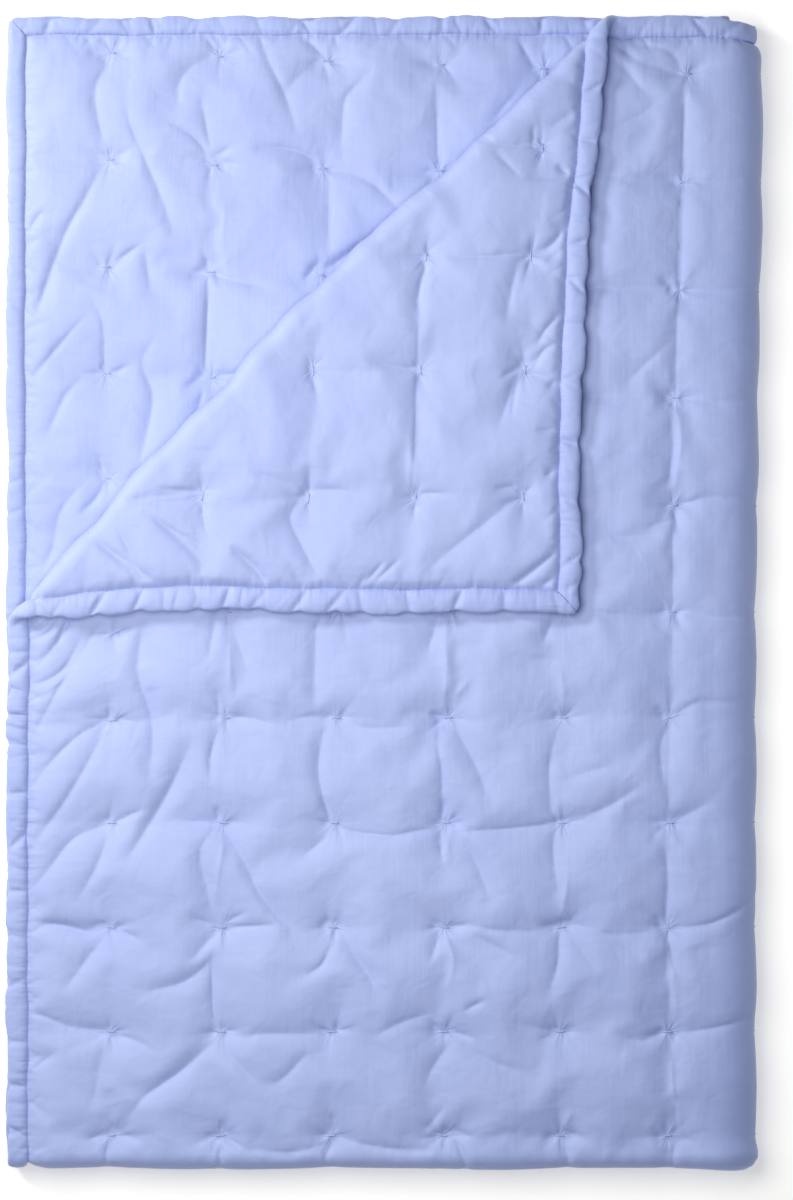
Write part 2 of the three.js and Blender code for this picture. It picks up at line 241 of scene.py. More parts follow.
def column_places(v):
    """Where each tuft column stands at the distance v along the cloth, one row of u a column."""
    share = (v / HALF_LENGTH) ** 2
    places = [
        foot + (np.where(v > 0, top, under) - foot) * share - HALF_WIDTH for foot, top, under in COLUMNS
    ]
    places.append(np.zeros_like(v))
    for i in range(len(COLUMNS)):
        places.append(np.full_like(v, HALF_WIDTH - FAR_COLUMN_FIRST - FAR_COLUMN_PITCH * i))
    return places


def row_levels(row):
    """How far along the cloth a tuft row stands, on the top side of the foot and on the other."""
    sag = TOP_ROW_SAG * math.sin(math.pi * row / (ROWS - 1))
    return FIRST_ROW_TOP + ROW_PITCH * row - sag, -(FIRST_ROW_UNDER + ROW_PITCH * row)


def row_slant(u):
    return 1 - UNDER_ROW_SLANT * (np.minimum(u, -SIDE_QUARTER) - SLANT_CENTRE) / HALF_LENGTH


def row_places(u):
    """Where each tuft row stands at the distance u across the cloth, one row of v a row."""
    places = []
    for row in range(ROWS):
        top, under = row_levels(row)
        places.append(np.full_like(u, top))
        places.append(under * row_slant(u))
    return places


def tuft_places():
    places = []
    for row in range(ROWS):
        for at in row_levels(row):
            for u in column_places(np.array([at])):
                places.append((u[0], at if at > 0 else at * row_slant(u[0])))
    return np.array(places)


TUFTS = tuft_places()
rng = np.random.default_rng(7)
TUFT_LEAN = rng.uniform(-0.12, 0.12, len(TUFTS))
TACK_HALF = 4.3


def drawn_gathers():
    """The gathers at each tack: where each starts beside it, its way, length, depth and width."""
    gathers = []
    for _ in TUFTS:
        here = []
        for base in (0, 90, 180, 270):
            if rng.random() > 0.88:
                continue
            start = TACK_HALF * math.cos(math.radians(base)) if base % 180 == 0 else rng.uniform(-3.5, 3.5)
            way = math.radians(base + rng.uniform(-16, 16))
            here.append((start, way, rng.uniform(8, 20), rng.uniform(1.2, 2.8), rng.uniform(1.5, 2.8)))
        for _ in range(rng.integers(1, 4)):
            way = math.radians(rng.choice([45, 135, 225, 315]) + rng.uniform(-28, 28))
            start = TACK_HALF * 0.8 * np.sign(math.cos(way))
            here.append((start, way, rng.uniform(5, 15), rng.uniform(0.8, 2.0), rng.uniform(1.4, 2.4)))
        gathers.append(here)
    return gathers


GATHERS = drawn_gathers()


def drawn_edge_gathers():
    """The short gathers that run in from the binding's seam, one list for each edge."""
    edges = []
    for half_edge in (HALF_LENGTH, HALF_LENGTH, HALF_WIDTH, HALF_WIDTH):
        gathers = []
        place = -half_edge
        while place < half_edge:
            place += rng.uniform(5, 21)
            slant = rng.uniform(-0.9, 0.9)
            length = rng.uniform(4, 13)
            gathers.append((place, slant, length, rng.uniform(0.5, 1.9), rng.uniform(1.3, 2.6)))
        edges.append(gathers)
    return edges


EDGE_GATHERS = drawn_edge_gathers()


def seam_gathered(u, v):
    """How far the gathers along the binding's seam sink the cloth inside it."""
    height = np.zeros_like(u)
    for gathers, inset, along in zip(EDGE_GATHERS, edge_insets(u, v), (v, v, u, u)):
        strip = np.flatnonzero((inset > -1) & (inset < 45))
        if not len(strip):
            continue
        order = strip[np.argsort(along[strip])]
        places = along[order]
        for place, slant, length, depth, width in gathers:
            first, last = np.searchsorted(places, (place - 45, place + 45))
            here = order[first:last]
            s = (along[here] - place - slant * inset[here]) / (width * (1 + 0.05 * inset[here]))
            height[here] -= depth * np.exp(-inset[here] / length) * np.exp(-(np.abs(s) ** 1.4))
    return height


def puffed(u, v):
    """Half the cloth's thickness before it creases: full between tufts and thin at each tuft."""
    filled = np.ones_like(u)
    for tuft_u, tuft_v in TUFTS:
        near = (np.abs(u - tuft_u) < 90) & (np.abs(v - tuft_v) < 90)
        away = np.hypot(np.maximum(0, np.abs(u[near] - tuft_u) - TACK_HALF), v[near] - tuft_v)
        filled[near] -= np.exp(-((away / 17.0) ** 1.15))
    filled = np.maximum(filled, 0)
    valley = np.zeros_like(u)
    for places, at, other, width, share in (
        (column_places(v), u, v, 12.0, 0.12), (row_places(u), v, u, 11.0, 0.15)
    ):
        for i, place in enumerate(places):
            wander = 1.6 * np.sin(other / 21.0 + 2.4 * i) + 1.1 * np.sin(other / 9.7 + 5.1 * i)
            firm = 0.62 + 0.38 * np.sin(other / 57.0 + 3.7 * i + 1.3 * np.sin(other / 31.0))
            away = np.abs(at - place - wander)
            valley = np.maximum(valley, share * firm * np.exp(-((away / width) ** 1.35)))
    full = TUFT + (CREST * (1 - valley) - TUFT) * filled
    near_foot = 1 - smoothstep(np.abs(v), 0, 40)
    near_side = 1 - smoothstep(np.abs(u), 0, 40)
    full += 0.6 * (CREST - full) * near_side
    full *= (1 - 0.18 * near_foot) * (1 - 0.5 * near_foot * near_side)
    inset = np.min(edge_insets(u, v), axis=0)
    steep = 1 - np.exp(-np.maximum(inset, 0) / 2.2)
    at_once = 0.5 + 0.4 * near_side
    rise = at_once * steep
    rise += (1 - at_once) * np.sin(math.pi / 2 * np.clip(inset / SEAM_REACH, 0, 1)) ** 0.8
    tucked = SEAM_HEIGHT / 2 + 0.3 * np.minimum(-inset, 3)
    return np.where(inset > 0, SEAM_HEIGHT + (full - SEAM_HEIGHT) * rise, tucked)


def puckered(u, v):
    """How far the gathers at the tacks sink the cloth. Each is deepest beside its tack."""
    height = np.zeros_like(u)
    for (tuft_u, tuft_v), gathers in zip(TUFTS, GATHERS):
        near = (np.abs(u - tuft_u) < 42) & (np.abs(v - tuft_v) < 42)
        if abs(tuft_u) < SIDE_QUARTER or not near.any():
            continue
        for start, way, length, depth, width in gathers:
            across = u[near] - tuft_u - start
            along = v[near] - tuft_v
            out = across * math.cos(way) + along * math.sin(way)
            aside = along * math.cos(way) - across * math.sin(way)
            run = smoothstep(out, -2.5, 4.0) * np.exp(-np.maximum(out - 4, 0) / length)
            spread = width * (1 + np.maximum(out, 0) * 0.07)
            height[near] -= depth * run * np.exp(-((np.abs(aside) / spread) ** 1.4))
    return height


# The creases that show from above, by the layer they are on: half width and depth in
# millimetres, then the seen places that each runs through. A negative depth is a ridge.
CREASES = {
    "top": [
        (5, 2.2, (673, 338), (650, 360), (622, 387)), (4, 1.8, (584, 541), (625, 537), (670, 535)),
        (3, 1.4, (674, 397), (710, 402), (752, 399)), (4, 1.8, (579, 609), (645, 615), (673, 612)),
        (3, 2.0, (675, 715), (690, 705), (706, 702), (749, 703)),
        (3, 3.0, (670, 928), (700, 925), (719, 919), (740, 906), (752, 893)),
        (3, 2.6, (673, 1033), (713, 1027), (751, 1016)),
        (5, 2.6, (145, 613), (139, 671), (153, 722), (150, 779)), (4, 2.0, (217, 613), (209, 659)),
        (3, 1.8, (217, 689), (220, 716)), (3, 2.2, (219, 727), (212, 752), (210, 779)),
        (6, 4.2, (191, 745), (172, 785), (153, 819), (128, 858)), (4, 1.8, (316, 623), (314, 702)),
        (4, 2.4, (324, 727), (319, 773), (332, 824)), (5, 3.0, (105, 618), (80, 655), (59, 690), (33, 738)),
        (4, 2.0, (70, 622), (52, 650), (36, 668)), (4, 2.4, (110, 720), (80, 735), (51, 763), (33, 786)),
        (5, 3.0, (108, 724), (90, 760), (66, 800), (33, 845)),
        (5, 2.8, (112, 824), (76, 837), (50, 868), (31, 891)), (5, 2.4, (110, 830), (98, 865), (79, 898)),
        (4, 2.0, (329, 835), (301, 858)), (5, 2.2, (218, 825), (201, 850), (208, 890), (217, 924)),
        (5, 2.6, (226, 828), (245, 862), (265, 901), (296, 932)),
        (4, 2.4, (110, 924), (84, 930), (51, 924), (28, 934)), (5, 2.4, (107, 934), (88, 958), (66, 988)),
        (4, 2.0, (217, 931), (194, 957)), (5, 2.6, (212, 957), (198, 972), (179, 983), (148, 990)),
        (2.5, 2.4, (213, 952), (213, 1000), (216, 1030)), (4, 2.2, (64, 1025), (108, 1033), (135, 1038)),
        (6, 4.0, (212, 1043), (184, 1068), (160, 1085), (143, 1098), (128, 1119)),
        (4, 2.0, (224, 1036), (281, 1033), (332, 1034)), (5, 2.2, (309, 1050), (281, 1079), (260, 1081)),
        (3, 2.2, (110, 1137), (105, 1165)), (3, 2.2, (221, 1142), (220, 1165)),
        (3, 2.2, (334, 1137), (324, 1160)), (5, -1.8, (445, 620), (451, 694)),
        (4, 1.8, (438, 618), (428, 651)), (4, 2.4, (553, 618), (543, 643)),
        (5, 2.4, (452, 720), (465, 745), (476, 766), (489, 799)), (2.5, 2.0, (390, 836), (438, 827)),
        (2.5, 2.4, (456, 832), (522, 827), (558, 821), (573, 814)),
        (4, 2.0, (573, 819), (612, 804), (640, 784)), (5, 2.4, (460, 832), (476, 862), (489, 896)),
        (5, 2.0, (474, 934), (512, 955)), (5, 1.8, (612, 939), (645, 957)),
        (2, 1.8, (684, 78), (684, 104), (683, 140), (681, 181)),
        (2, 1.6, (681, 184), (680, 230), (678, 288)), (2, 1.0, (678, 292), (676, 340), (674, 396)),
        (2, 0.9, (674, 400), (674, 450), (673, 504)), (2, 0.9, (673, 508), (672, 560), (673, 612)),
        (2, 0.8, (673, 616), (671, 660), (669, 716)), (2, 0.9, (669, 720), (668, 770), (668, 824)),
        (2, 0.8, (668, 828), (666, 880), (665, 928)), (2, 0.9, (665, 932), (668, 980), (672, 1033)),
        (2, 0.9, (672, 1037), (675, 1090), (677, 1138)), (3, 2.2, (614, 44), (628, 56), (646, 66)),
        (3, 2.4, (611, 58), (628, 74), (642, 92)), (3, 1.8, (610, 36), (634, 44), (668, 52), (681, 70)),
        (3, 1.6, (641, 62), (668, 72), (682, 76)), (2, 1.2, (686, 74), (704, 68), (722, 66)),
        (3, 1.4, (606, 130), (640, 116), (664, 96)), (3, 1.4, (602, 178), (640, 182), (674, 181)),
        (3, 1.3, (684, 181), (712, 184), (748, 178)), (3, 1.5, (590, 288), (634, 290), (674, 288)),
        (3, 1.3, (682, 290), (716, 292), (750, 284)), (3, 1.8, (655, 393), (674, 396)),
        (2, -1.4, (675, 408), (680, 440), (675, 478), (671, 500)),
        (3, 1.6, (668, 410), (672, 450), (666, 490)), (2.5, 1.8, (671, 508), (676, 520), (677, 532)),
        (3, 2.0, (645, 528), (672, 520)), (3, 1.6, (690, 503), (705, 498), (750, 498)),
        (2.5, -1.2, (582, 608), (610, 611), (645, 615)), (3, 1.4, (680, 613), (720, 617), (750, 613)),
        (3, 2.2, (655, 706), (668, 715)), (3, 1.6, (672, 722), (660, 745), (664, 790)),
        (3, 1.4, (557, 661), (530, 657)), (2.5, -1.2, (444, 640), (446, 680), (442, 712)),
        (3, 2.0, (440, 722), (438, 745), (442, 775), (441, 820)), (3, 1.8, (430, 712), (444, 718)),
        (2.5, -1.2, (455, 697), (470, 678)), (3, 1.4, (535, 718), (561, 718), (585, 716)),
        (3, 1.8, (556, 730), (549, 770), (552, 815)), (2, -1.2, (561, 665), (563, 700)),
        (5, 1.6, (618, 764), (585, 772), (563, 780)), (3, 1.4, (338, 722), (370, 728), (405, 727)),
        (2.5, 1.6, (224, 717), (248, 718), (275, 725)), (2.5, 1.4, (285, 722), (305, 717), (326, 716)),
        (2.5, 1.2, (85, 718), (108, 719)), (3, 3.6, (72, 611), (65, 628), (57, 646)),
        (3, 2.8, (61, 617), (50, 632), (34, 640)), (3, 2.4, (54, 614), (42, 627), (31, 636)),
        (4, 2.6, (82, 638), (65, 668), (46, 681), (30, 684)), (3, -1.4, (88, 640), (68, 674), (48, 690)),
        (5, 1.6, (231, 615), (238, 640), (247, 668)), (2, -1.0, (230, 640), (231, 704)),
        (3, 2.2, (322, 617), (314, 632)), (3, 2.2, (142, 809), (126, 817), (112, 824)),
        (2.5, 1.6, (180, 821), (216, 822)), (2, 2.2, (217, 806), (220, 820)),
        (2.5, 1.8, (322, 795), (331, 820)), (2, 2.0, (334, 826), (355, 832), (398, 836)),
        (2, -1.4, (226, 832), (219, 870), (215, 902)),
        (3, 2.4, (40, 922), (68, 925), (90, 932), (108, 928)), (3, 2.0, (113, 929), (130, 934), (142, 941)),
        (3, 2.2, (190, 916), (214, 925)), (3, 2.2, (223, 924), (247, 911)),
        (2, 1.6, (226, 927), (276, 924)), (4, 2.4, (318, 924), (346, 924)),
        (3, 2.6, (331, 944), (322, 964), (305, 975)), (4, 2.0, (344, 938), (360, 962), (376, 986)),
        (3, 2.2, (28, 1012), (45, 1016), (70, 1026)), (3, 1.6, (113, 1034), (138, 1041), (152, 1049)),
        (3, 1.8, (56, 1051), (32, 1070)), (4, 1.6, (223, 1044), (243, 1068), (256, 1080)),
        (5, 1.6, (105, 1040), (98, 1080), (91, 1112)), (3, 2.2, (85, 1141), (110, 1133), (142, 1141)),
        (3, 2.4, (194, 1143), (221, 1137), (247, 1149)), (3, 2.0, (223, 1118), (221, 1136)),
        (3, 2.2, (332, 1112), (336, 1132)), (3, 1.8, (340, 1138), (385, 1147), (434, 1150)),
        (4, 1.6, (250, 1149), (295, 1151), (330, 1141)), (2.5, 2.4, (445, 798), (441, 822)),
        (2.5, 2.0, (440, 829), (442, 862)), (2, -1.2, (449, 829), (447, 866)),
        (3, 2.0, (428, 823), (444, 825), (463, 820)), (3, 2.0, (556, 826), (553, 850), (557, 888)),
        (2, -1.6, (567, 872), (564, 900), (560, 924)), (3, 2.0, (428, 929), (452, 926), (474, 923)),
        (2, 1.6, (474, 925), (500, 930), (548, 931)), (3, 1.8, (440, 932), (430, 962)),
        (2, -1.4, (446, 934), (453, 960), (448, 986)), (3, 2.4, (543, 926), (563, 922), (592, 929)),
        (3, 2.4, (558, 934), (558, 960), (551, 986)), (4, 1.8, (570, 936), (585, 955), (601, 972)),
        (2, 1.4, (592, 931), (620, 934), (657, 930)), (3, 2.2, (653, 913), (664, 927)),
        (3, 2.0, (665, 930), (669, 945), (673, 968)),
        (3, 1.8, (662, 845), (668, 872), (667, 905), (662, 925)),
        (4, 2.0, (645, 823), (668, 821), (690, 812), (712, 801)),
        (4, 1.8, (378, 1033), (405, 1020), (433, 1012)), (3, 2.2, (464, 1010), (486, 998)),
        (3, 2.4, (428, 1037), (450, 1032), (476, 1038)), (4, 1.6, (450, 1042), (432, 1068), (424, 1087)),
        (4, 1.6, (452, 1040), (490, 1060), (522, 1071)), (3, 2.4, (538, 1039), (560, 1032), (578, 1024)),
        (2.5, 1.8, (620, 1035), (640, 1040), (655, 1036), (668, 1032)),
        (2, -1.4, (668, 944), (675, 1000), (672, 1028)),
        (2, -1.4, (674, 1040), (672, 1080), (678, 1110), (680, 1132)),
        (3, 2.8, (433, 1141), (453, 1130), (468, 1135)), (4, 1.6, (424, 1131), (446, 1104)),
        (2.5, 2.2, (456, 1138), (463, 1155), (468, 1166)), (3, 2.8, (543, 1141), (562, 1133), (584, 1136)),
        (3, -1.6, (562, 1130), (571, 1110)), (2.5, 2.2, (564, 1138), (569, 1165)),
        (3, 2.2, (653, 1141), (675, 1137), (694, 1141)), (2.5, 1.8, (674, 1142), (672, 1162)),
    ],
    "flap": [
        (4, 2.4, (117, 522), (145, 583)), (4, 2.0, (99, 540), (138, 578)),
        (5, 2.6, (153, 517), (180, 540), (212, 570)), (4, 1.8, (235, 550), (268, 583)),
        (5, 2.8, (304, 494), (291, 517), (302, 545), (324, 583)),
        (3, 1.5, (130, 500), (203, 492), (222, 490)), (3, 1.8, (304, 492), (330, 490), (357, 494)),
        (2, 1.3, (419, 300), (416, 400), (411, 512)), (5, 2.4, (510, 504), (470, 535), (433, 565)),
        (5, 2.4, (515, 376), (499, 428)), (3, 1.8, (556, 550), (535, 570), (512, 588)),
        (3, 1.8, (574, 116), (550, 128)), (4, 2.6, (525, 180), (570, 179)),
        (4, 1.8, (564, 231), (538, 258)), (2, 1.8, (160, 490), (200, 491)),
        (2, 1.4, (130, 500), (168, 503), (202, 500)), (2.5, 1.8, (203, 493), (205, 520), (211, 542)),
        (3, 2.4, (95, 541), (125, 560), (157, 583)),
        (3, 2.2, (145, 512), (172, 530), (200, 546), (213, 562)),
        (3, 2.4, (232, 548), (254, 565), (267, 584)), (5, 1.8, (248, 471), (290, 485)),
        (2.5, 2.4, (384, 562), (366, 582)), (2.5, 2.2, (400, 559), (374, 583)),
        (3, 2.2, (309, 356), (312, 386)), (3, 2.2, (376, 365), (417, 371)),
        (2, 1.4, (487, 145), (515, 148), (533, 143)), (2.5, 2.0, (533, 126), (532, 152)),
        (3, 1.6, (493, 152), (511, 170), (521, 181)), (3, 3.2, (556, 166), (568, 177)),
        (3, 3.0, (564, 230), (552, 246), (536, 255), (522, 260)), (3, 2.2, (562, 252), (545, 263)),
        (2, 1.6, (453, 258), (490, 258), (526, 254)), (3, 2.4, (428, 265), (421, 282), (417, 312)),
        (5, 2.4, (518, 262), (511, 292), (505, 325)), (3, 2.8, (560, 315), (545, 331), (536, 347)),
        (3, 2.6, (558, 344), (543, 352), (532, 371)), (3, 2.8, (500, 379), (515, 370), (527, 366)),
        (3, 2.0, (519, 372), (514, 398), (511, 418)), (3, 2.4, (559, 382), (546, 389)),
        (3, 2.4, (559, 430), (535, 432)), (3, 2.8, (559, 468), (544, 476)),
        (3, 2.4, (494, 489), (517, 487)), (2, -1.4, (414, 405), (411, 488)),
        (2, 1.6, (414, 493), (447, 494)), (3, 3.0, (558, 551), (535, 568), (508, 588)),
        (3, 2.6, (560, 576), (545, 583), (530, 592)),
    ],
    "under": [
        (4, 2.2, (110, 60), (95, 92), (105, 150)),
        (4, 2.0, (128, 71), (128, 115), (143, 153), (163, 201), (173, 232)),
        (5, 3.6, (106, 158), (82, 204), (64, 237), (38, 306)), (5, 2.6, (54, 268), (36, 314)),
        (4, 2.0, (112, 268), (139, 246)), (5, 2.4, (145, 245), (150, 288)),
        (5, 2.8, (158, 334), (143, 362), (153, 400), (140, 463)), (2, 1.2, (208, 273), (205, 375)),
        (4, 1.6, (329, 173), (329, 255)), (6, 2.4, (323, 272), (360, 248), (400, 217)),
        (5, 2.6, (84, 376), (64, 399), (46, 440)), (4, 2.0, (204, 389), (196, 417)),
        (5, 2.8, (84, 481), (61, 512), (54, 545), (41, 575)), (2, 1.4, (436, 84), (439, 179)),
        (3, 2.0, (517, 38), (541, 77)), (4, 2.2, (520, 88), (500, 112), (489, 124)),
        (2, 2.4, (101, 33), (112, 51)), (2, 1.4, (125, 32), (114, 50)), (3, 1.8, (112, 53), (97, 61)),
        (2, 2.4, (202, 32), (218, 52)), (2, 1.6, (213, 32), (223, 48)),
        (4, 2.2, (217, 55), (190, 68), (178, 88), (180, 108)), (3, 1.8, (201, 97), (209, 138), (212, 153)),
        (3, 2.2, (170, 123), (190, 133), (209, 153)), (3, 2.4, (213, 158), (232, 146)),
        (2.5, 2.0, (190, 154), (212, 159), (240, 165)),
        (5, 2.2, (260, 34), (268, 60), (285, 95), (298, 136)), (3, 2.2, (303, 35), (326, 58)),
        (5, 1.8, (326, 62), (302, 74), (285, 93)), (4, 2.0, (341, 160), (344, 106), (352, 90), (374, 68)),
        (3, 2.2, (255, 150), (280, 148), (303, 153), (322, 163)),
        (4, 1.8, (345, 172), (371, 182), (396, 206)), (3, 1.8, (84, 150), (107, 156), (130, 150)),
        (3, 3.0, (28, 231), (43, 210)), (2, 2.2, (108, 272), (122, 257), (139, 246)),
        (3, 2.0, (30, 380), (60, 345), (87, 314)), (3, 1.8, (92, 300), (103, 322), (106, 370)),
        (2, -1.0, (226, 205), (222, 245), (230, 275)), (2.5, 2.2, (207, 257), (209, 272)),
        (2, 1.4, (213, 273), (240, 282), (267, 286)), (3, 1.8, (188, 277), (207, 272)),
        (2, 1.8, (210, 278), (207, 330), (206, 370)), (2.5, 2.4, (186, 386), (206, 376)),
        (2.5, 2.2, (209, 378), (243, 374)), (2.5, 2.8, (319, 261), (304, 280)),
        (3, 2.6, (325, 271), (362, 242)), (2, 2.4, (127, 366), (110, 376)),
        (2, 2.0, (102, 363), (106, 376)), (2.5, 2.4, (98, 454), (106, 478)),
        (3, 2.4, (105, 483), (95, 500), (80, 514)),
    ],
}


def run_through(points, steps=8):
    """A smooth line through the given points."""
    p = np.array([points[0], *points, points[-1]], float)
    share = np.linspace(0, 1, steps, endpoint=False)[:, None]
    line = []
    for a, b, c, d in zip(p, p[1:], p[2:], p[3:]):
        line.append(
            0.5 * (2 * b + (c - a) * share + (2 * a - 5 * b + 4 * c - d) * share**2
                   + (3 * b - a - 3 * c + d) * share**3)
        )
    return np.vstack([*line, p[-1:]])


def creased(u, v, layer):
    """How far the listed creases raise or sink the face that shows, where it shows."""
    laid = middle(u, v)
    across, down = seen(laid[:, 0], laid[:, 1])
    height = np.zeros_like(u)
    for width, depth, *points in CREASES[layer]:
        line = run_through(points)
        reach = 7.0 * width / SEEN_STEP
        low = line.min(axis=0) - reach
        high = line.max(axis=0) + reach
        near = (across > low[0]) & (across < high[0]) & (down > low[1]) & (down < high[1])
        if not near.any():
            continue
        here = np.stack([across[near], down[near]], axis=-1)
        steps = np.hypot(*np.diff(line, axis=0).T)
        travelled = np.concatenate([[0], np.cumsum(steps)])
        best = np.full(len(here), 1e9)
        share = np.zeros(len(here))
        for start, way, gone, step in zip(line, np.diff(line, axis=0), travelled, steps):
            t = np.clip(((here - start) @ way) / step**2, 0, 1)
            away = np.hypot(*(here - start - t[:, None] * way).T)
            closer = away < best
            best = np.where(closer, away, best)
            share = np.where(closer, (gone + t * step) / travelled[-1], share)
        s = best * SEEN_STEP / width
        taper = np.sin(math.pi * (0.04 + 0.92 * share)) ** 0.8
        if depth > 0:
            height[near] -= 1.12 * depth * taper * np.exp(-0.9 * (np.sqrt(s * s + 0.03) - 0.17))
        else:
            height[near] -= depth * taper * np.exp(-0.9 * (np.sqrt(s * s + 0.05) - 0.22))
    return height * (1 - 0.22 * smoothstep(across, 420, 680))


def under_the_flap(u, v, margin):
    """Whether a place of the top layer is hidden by the corner that is turned back over it."""
    past = past_crease(u, v)
    turned_u = u - 2 * past * to_corner[0]
    turned_v = v - 2 * past * to_corner[1]
    within = (turned_u > margin - HALF_WIDTH) & (turned_v < HALF_LENGTH - margin) & (turned_u < 0)
    return (past < -margin) & within


def squeezed_out(u, v):
    """How far the top layer swells beside the turned-back corner that lies on it."""
    past = past_crease(u, v)
    beside = -HALF_WIDTH - (u - 2 * past * to_corner[0])
    below = (v - 2 * past * to_corner[1]) - HALF_LENGTH
    out = np.where((u < 0) & (v > 0) & (past < 0), np.maximum(beside, below), 1e3)
    return 0.8 * np.exp(-(((out - 5) / 12.0) ** 2))


def swollen_folds(u, v):
    """How far the wadding swells the outside of the foot fold and of the side fold's far end."""
    at_foot = 1 - smoothstep(np.abs(v), 4, 30)
    at_side = (1 - smoothstep(np.abs(u), 10, 50)) * smoothstep(np.abs(v), 520, 680)
    at_side *= smoothstep(HALF_LENGTH - np.abs(v), 19, 40)
    foot_swell = at_foot * (1.7 + 0.9 * np.sin(u / 38.0 + 2.0)) * smoothstep(HALF_WIDTH - np.abs(u), 15, 45)
    corner = 4.2 * np.exp(-(u * u + v * v) / 28.0**2)
    return foot_swell + 2.6 * at_side + corner


# The three stretches of cloth that show from above: which face shows, the flat patch that holds
# the stretch as lowest and highest u and v, and what of that patch shows.
SHOWN = {
    "top": (1, (-684, 44, 4, 1052), lambda u, v: (past_crease(u, v) < 30) & ~under_the_flap(u, v, 60)),
    "flap": (-1, (-684, -112, 500, 1052), lambda u, v: past_crease(u, v) > -8),
    "under": (-1, (-684, -112, -1052, -492), lambda u, v: past_crease(u, -v) > -26),
}
SETTLE_CELL = 4.0
SETTLE_FRAMES = 14
SETTLE_GROWTH = 0.018
SETTLE_STIFFNESS = 6.0
SETTLE_PUSH = 1.0
SETTLE_SHARE = 0.55


def stirred(u, v):
    """The slight unevenness that the cloth starts to settle from."""
    waves = np.random.default_rng(23)
    height = np.zeros_like(u)
    for length in np.geomspace(16, 70, 26):
        way = waves.uniform(0, math.pi)
        turn = 2 * math.pi * (u * math.cos(way) + v * math.sin(way)) / length + waves.uniform(0, 6)
        height += 0.0022 * length * np.sin(turn)
    return height


def settled(layer):
    """Lets one stretch of cloth, held at its tacks and seams and pushed up by the wadding, buckle
    as cloth that is slightly too large. Returns what that adds to its height, on an even grid."""
    side, (low_u, high_u, low_v, high_v), shows = SHOWN[layer]
    columns = round((high_u - low_u) / SETTLE_CELL)
    rows = round((high_v - low_v) / SETTLE_CELL)
    bm = bmesh.new()
    bmesh.ops.create_grid(bm, x_segments=columns, y_segments=rows, size=0.5)
    for vert in bm.verts:
        vert.co.x = low_u + (vert.co.x + 0.5) * columns * SETTLE_CELL
        vert.co.y = low_v + (vert.co.y + 0.5) * rows * SETTLE_CELL
    hidden = [face for face in bm.faces if not shows(*face.calc_center_median().xy)]
    bmesh.ops.delete(bm, geom=hidden, context="FACES")
    border = np.array([vert.is_boundary for vert in bm.verts])
    mesh = meshed(bm, f"settling_{layer}")
    flat = coordinates(mesh)
    u = flat[:, 0]
    v = flat[:, 1]
    start = puffed(u, v) + seam_gathered(u, v) + creased(u, v, layer) + stirred(u, v)
    nearest = np.full_like(u, 1e6)
    for tuft_u, tuft_v in TUFTS:
        nearest = np.minimum(nearest, np.hypot(np.maximum(0, np.abs(u - tuft_u) - 4), v - tuft_v))
    mesh.vertices.foreach_set("co", (np.stack([u, v, start], axis=-1) * MM).astype(np.float32).ravel())
    cloth = bpy.data.objects.new(f"settling_{layer}", mesh)
    bpy.context.scene.collection.objects.link(cloth)
    held = cloth.vertex_groups.new(name="held")
    fast = border | (nearest < SETTLE_CELL * 0.6)
    held.add([int(i) for i in np.flatnonzero(fast)], 1.0, "REPLACE")
    modifier = cloth.modifiers.new("settling", "CLOTH")
    settings = modifier.settings
    settings.vertex_group_mass = "held"
    settings.quality = 5
    settings.mass = 0.3
    settings.tension_stiffness = 15
    settings.compression_stiffness = 15
    settings.shear_stiffness = 5
    settings.bending_stiffness = SETTLE_STIFFNESS
    settings.shrink_min = -SETTLE_GROWTH
    settings.effector_weights.gravity = 0
    settings.use_pressure = True
    settings.uniform_pressure_force = SETTLE_PUSH
    settings.air_damping = 2
    modifier.collision_settings.use_collision = False
    modifier.point_cache.frame_start = 1
    modifier.point_cache.frame_end = SETTLE_FRAMES + 1
    for step in range(1, SETTLE_FRAMES + 1):
        bpy.context.scene.frame_set(step)
    rested = cloth.evaluated_get(bpy.context.evaluated_depsgraph_get()).data
    height = coordinates(rested)[:, 2] / MM
    bpy.data.objects.remove(cloth)
    bpy.context.scene.frame_set(1)
    field = np.zeros((rows + 1, columns + 1))
    row = np.rint((v - low_v) / SETTLE_CELL).astype(int)
    column = np.rint((u - low_u) / SETTLE_CELL).astype(int)
    field[row, column] = height - start
    return field


def spline_shares(t):
    """The shares of four neighbouring grid points in a smooth curve, at t between the middle two."""
    last = t**3 / 6
    third = (1 + 3 * t + 3 * t**2 - 3 * t**3) / 6
    second = (4 - 6 * t**2 + 3 * t**3) / 6
    return (1 - t) ** 3 / 6, second, third, last


def looked_up(layer, u, v):
    """What settling adds at places of the flat cloth, blended between the points of its grid."""
    field = SETTLED[layer]
    low_u, _, low_v, _ = SHOWN[layer][1]
    column = np.clip((u - low_u) / SETTLE_CELL, 0, field.shape[1] - 1.001)
    row = np.clip((v - low_v) / SETTLE_CELL, 0, field.shape[0] - 1.001)
    i = column.astype(int)
    j = row.astype(int)
    a = column - i
    b = row - j
    across = spline_shares(a)
    along = spline_shares(b)
    height = np.zeros_like(u)
    for row_step, row_share in enumerate(along, start=-1):
        rows = np.clip(j + row_step, 0, field.shape[0] - 1)
        for column_step, column_share in enumerate(across, start=-1):
            columns = np.clip(i + column_step, 0, field.shape[1] - 1)
            height += row_share * column_share * field[rows, columns]
    return height


